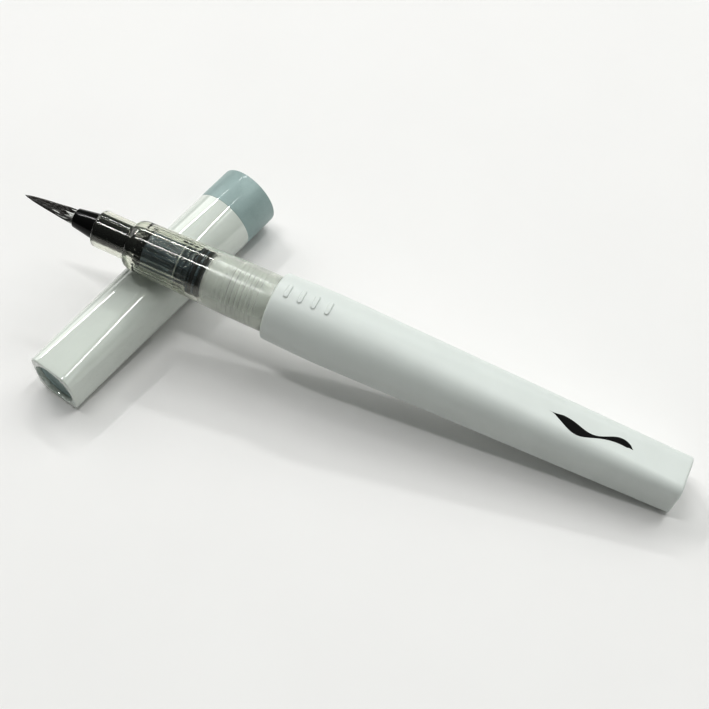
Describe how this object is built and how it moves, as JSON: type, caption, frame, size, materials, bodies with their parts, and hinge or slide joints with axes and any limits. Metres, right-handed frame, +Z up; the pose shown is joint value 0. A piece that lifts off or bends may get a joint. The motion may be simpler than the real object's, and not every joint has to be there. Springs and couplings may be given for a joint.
{
  "type": "calligraphy brush pen",
  "caption": "Squeeze-barrel calligraphy brush pen, its clear front screwed on, leaning across its own pull-off banded cap.",
  "frame": {"origin": "on the table, under the middle of the footprint of pen and cap together", "axes": "+X runs from the brush tip towards the pen's tail, +Z is up from the table, and the cap's mouth points mostly along +Y"},
  "size_m": [0.1414, 0.0612, 0.0241],
  "materials": {
    "hair": "dark nylon hair",
    "root": "fused hair",
    "ferrule": "gloss black",
    "wick": "porous, ink soaked",
    "felt": "fibre soaked in dark ink",
    "collector": "dark, wet with ink",
    "clear": "clear polished",
    "seal": "soft rubber",
    "barrel": "satin white, slightly soft",
    "plug": "milky white",
    "cap": "gloss white",
    "band": "blue-grey metallic lacquer",
    "liner": "milky white"
  },
  "bodies": {
    "barrel": {"barrel": "barrel", "neck_plug": "plug"},
    "seal": {"rear_seal_ring": "seal"},
    "front": {"front_shell": "clear", "front_seal_ring": "seal", "ink_collector": "collector", "ink_felt": "felt", "wick": "wick", "brush_ferrule": "ferrule", "tuft_root": "root", "brush_tuft": "hair"},
    "cap": {"cap_sleeve": "cap", "cap_band": "band", "cap_liner": "liner", "cap_end_plug": "band"}
  },
  "joints": [
    {"name": "front_advance", "type": "slide", "parent": "barrel", "child": "seal", "axis": [-0.9924, 0, 0.1231], "range_m": [0, 0.01]},
    {"name": "front_turn", "type": "hinge", "parent": "seal", "child": "front", "pos_m": [-0.01865, -0.00029, 0.01573], "axis": [-0.9924, 0, 0.1231], "range_deg": [0, 3601]},
    {"name": "cap_slide", "type": "slide", "parent": "barrel", "child": "cap", "axis": [0.2368, 0.9715, 0], "range_m": [0, 0.045]}
  ],
  "couplings": [
    {"joint": "front_turn", "follows": "front_advance", "rad_per_m": 6283.2}
  ]
}
